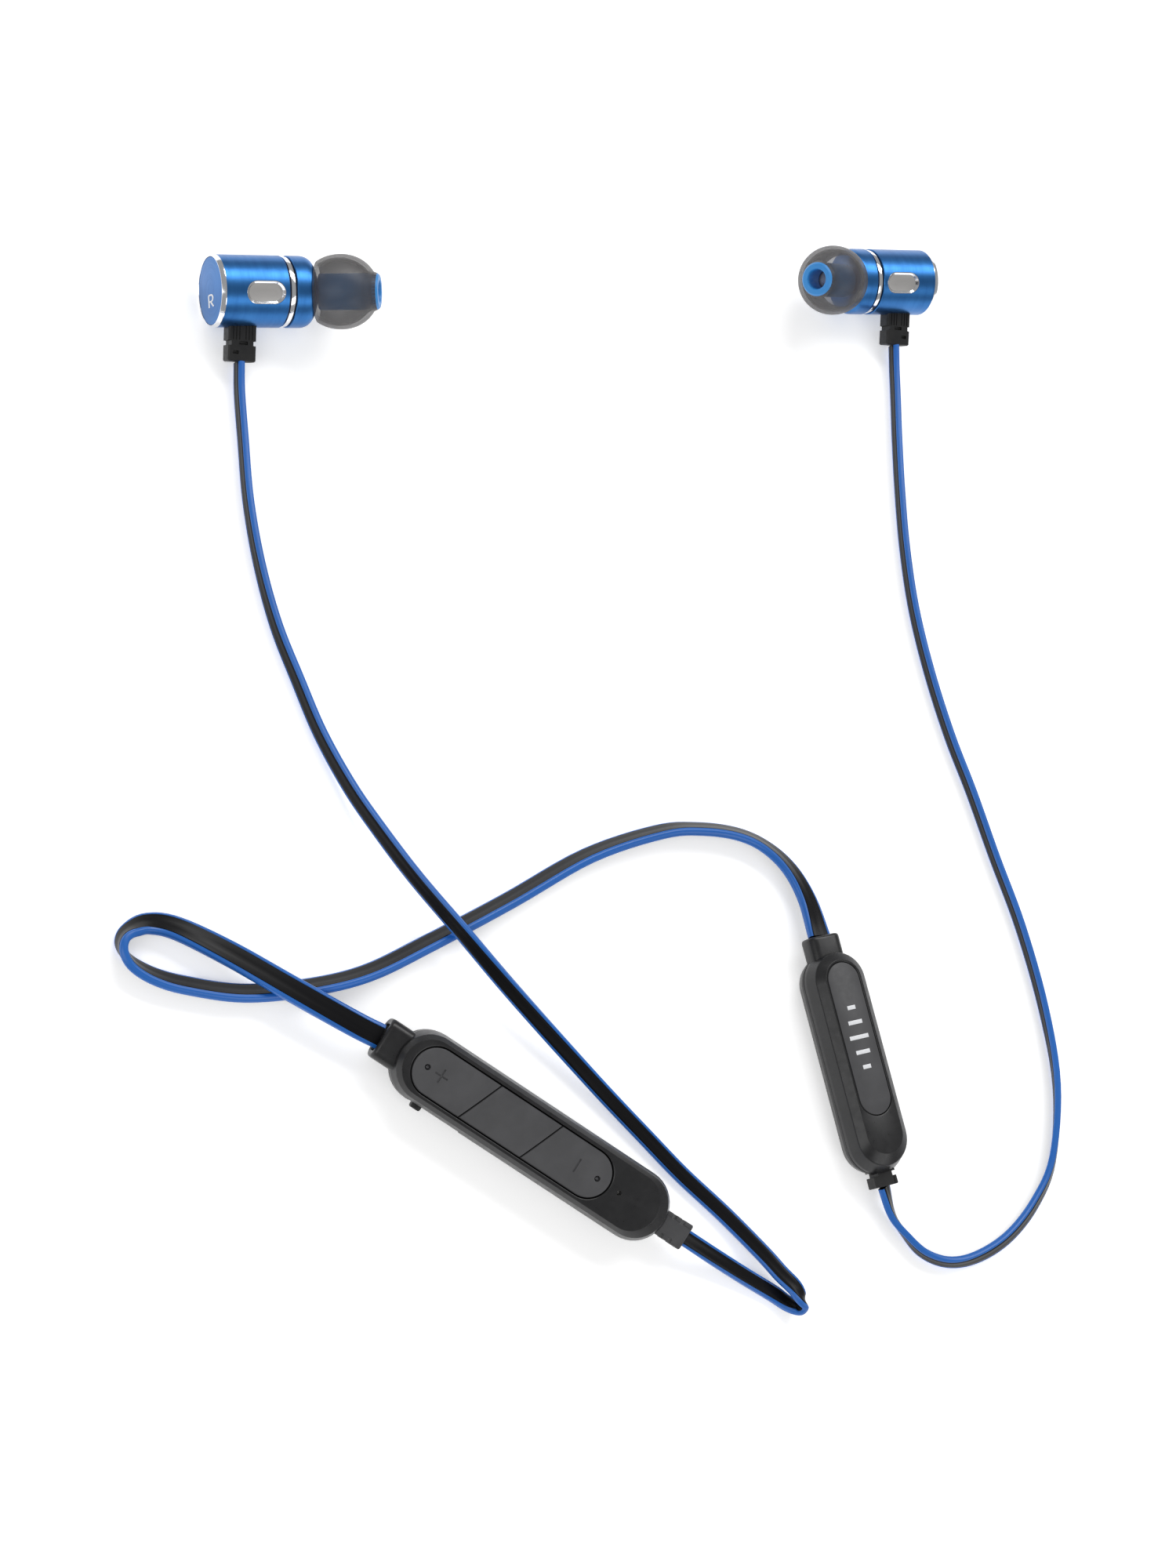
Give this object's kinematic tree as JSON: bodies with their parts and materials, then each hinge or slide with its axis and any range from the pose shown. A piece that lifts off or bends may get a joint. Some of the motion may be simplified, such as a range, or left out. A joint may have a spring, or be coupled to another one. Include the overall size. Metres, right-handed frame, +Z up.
{
  "type": "neckband earphones",
  "caption": "Wireless neckband earphones: a control pod and a battery pod joined by a flat cable, with two metal in-ear buds on flat leads.",
  "frame": {"origin": "on the table, under the middle of the footprint of the pods and earbuds, cables left out", "axes": "+Z up from the table, +Y from the pods towards the earbuds, +X from the right earbud towards the left earbud"},
  "size_m": [0.1726, 0.1936, 0.016],
  "materials": {
    "black_shell": "satin moulded, fine grain",
    "key_plastic": "matte moulded",
    "soft_black": "matte moulded",
    "relief_grey": "matte moulded",
    "cable_black": "satin extruded",
    "cable_blue": "satin extruded",
    "anodised_blue": "satin anodised, fine turned grain",
    "polished_metal": "diamond cut, polished",
    "inlay_silver": "satin, bevelled",
    "driver_grey": "moulded",
    "steel_parts": "plated",
    "gold_plated": "plated",
    "board_green": "solder mask",
    "ceramic_white": "smooth",
    "cell_foil": "laminated foil",
    "foam_grey": "closed cell foam",
    "film_clear": "thin film",
    "smoke_silicone": "translucent, matte",
    "blue_silicone": "satin"
  },
  "bodies": {
    "headset": {"control_pod_top": "black_shell", "control_pod_bottom": "black_shell", "control_pod_collar": "black_shell", "tact_switches": "steel_parts", "main_board": "board_green", "radio_chip": "steel_parts", "ceramic_antenna": "ceramic_white", "usb_socket": "steel_parts", "microphone": "gold_plated", "lamp_light_guide": "ceramic_white", "control_pod_relief": "relief_grey", "battery_pod_top": "black_shell", "battery_pod_bottom": "black_shell", "battery_pod_inlay": "key_plastic", "battery_pod_collar": "black_shell", "battery_cell": "cell_foil", "protection_board": "board_green", "battery_foam_pad": "foam_grey", "battery_pod_relief": "soft_black", "neckband_cable": "cable_black", "right_lead": "cable_black", "left_lead": "cable_black", "right_rear_cap": "anodised_blue", "right_trim_ring": "polished_metal", "right_barrel": "anodised_blue", "right_polished_band": "polished_metal", "right_front_housing": "anodised_blue", "right_window_inlay": "inlay_silver", "right_driver_frame": "driver_grey", "right_driver_magnet": "steel_parts", "right_diaphragm": "film_clear", "right_nozzle_mesh": "steel_parts", "right_strain_relief": "soft_black", "left_rear_cap": "anodised_blue", "left_trim_ring": "polished_metal", "left_barrel": "anodised_blue", "left_polished_band": "polished_metal", "left_front_housing": "anodised_blue", "left_window_inlay": "inlay_silver", "left_driver_frame": "driver_grey", "left_driver_magnet": "steel_parts", "left_diaphragm": "film_clear", "left_nozzle_mesh": "steel_parts", "left_strain_relief": "soft_black"},
    "plus_key": {"key_plus": "key_plastic"},
    "middle_key": {"key_middle": "key_plastic"},
    "minus_key": {"key_minus": "key_plastic"},
    "socket_cover": {"usb_cover": "soft_black"},
    "right_ear_tip": {"right_ear_tip_dome": "smoke_silicone", "right_ear_tip_core": "blue_silicone"},
    "left_ear_tip": {"left_ear_tip_dome": "smoke_silicone", "left_ear_tip_core": "blue_silicone"}
  },
  "joints": [
    {"name": "press_plus", "type": "slide", "parent": "headset", "child": "plus_key", "axis": [0.1772, 0.2531, -0.9511], "range_m": [0, 0.0003], "stiffness_N_per_m": 1000},
    {"name": "press_middle", "type": "slide", "parent": "headset", "child": "middle_key", "axis": [0.1772, 0.2531, -0.9511], "range_m": [0, 0.0003], "stiffness_N_per_m": 1000},
    {"name": "press_minus", "type": "slide", "parent": "headset", "child": "minus_key", "axis": [0.1772, 0.2531, -0.9511], "range_m": [0, 0.0003], "stiffness_N_per_m": 1000},
    {"name": "open_socket_cover", "type": "hinge", "parent": "headset", "child": "socket_cover", "pos_m": [-0.03893, -0.06823, 0.00246], "axis": [-0.1772, -0.2531, 0.9511], "range_deg": [0, 90]},
    {"name": "pull_off_right_tip", "type": "slide", "parent": "headset", "child": "right_ear_tip", "axis": [0.8655, -0.1263, 0.4848], "range_m": [0, 0.006]},
    {"name": "pull_off_left_tip", "type": "slide", "parent": "headset", "child": "left_ear_tip", "axis": [-0.842, -0.2367, 0.4848], "range_m": [0, 0.006]}
  ]
}
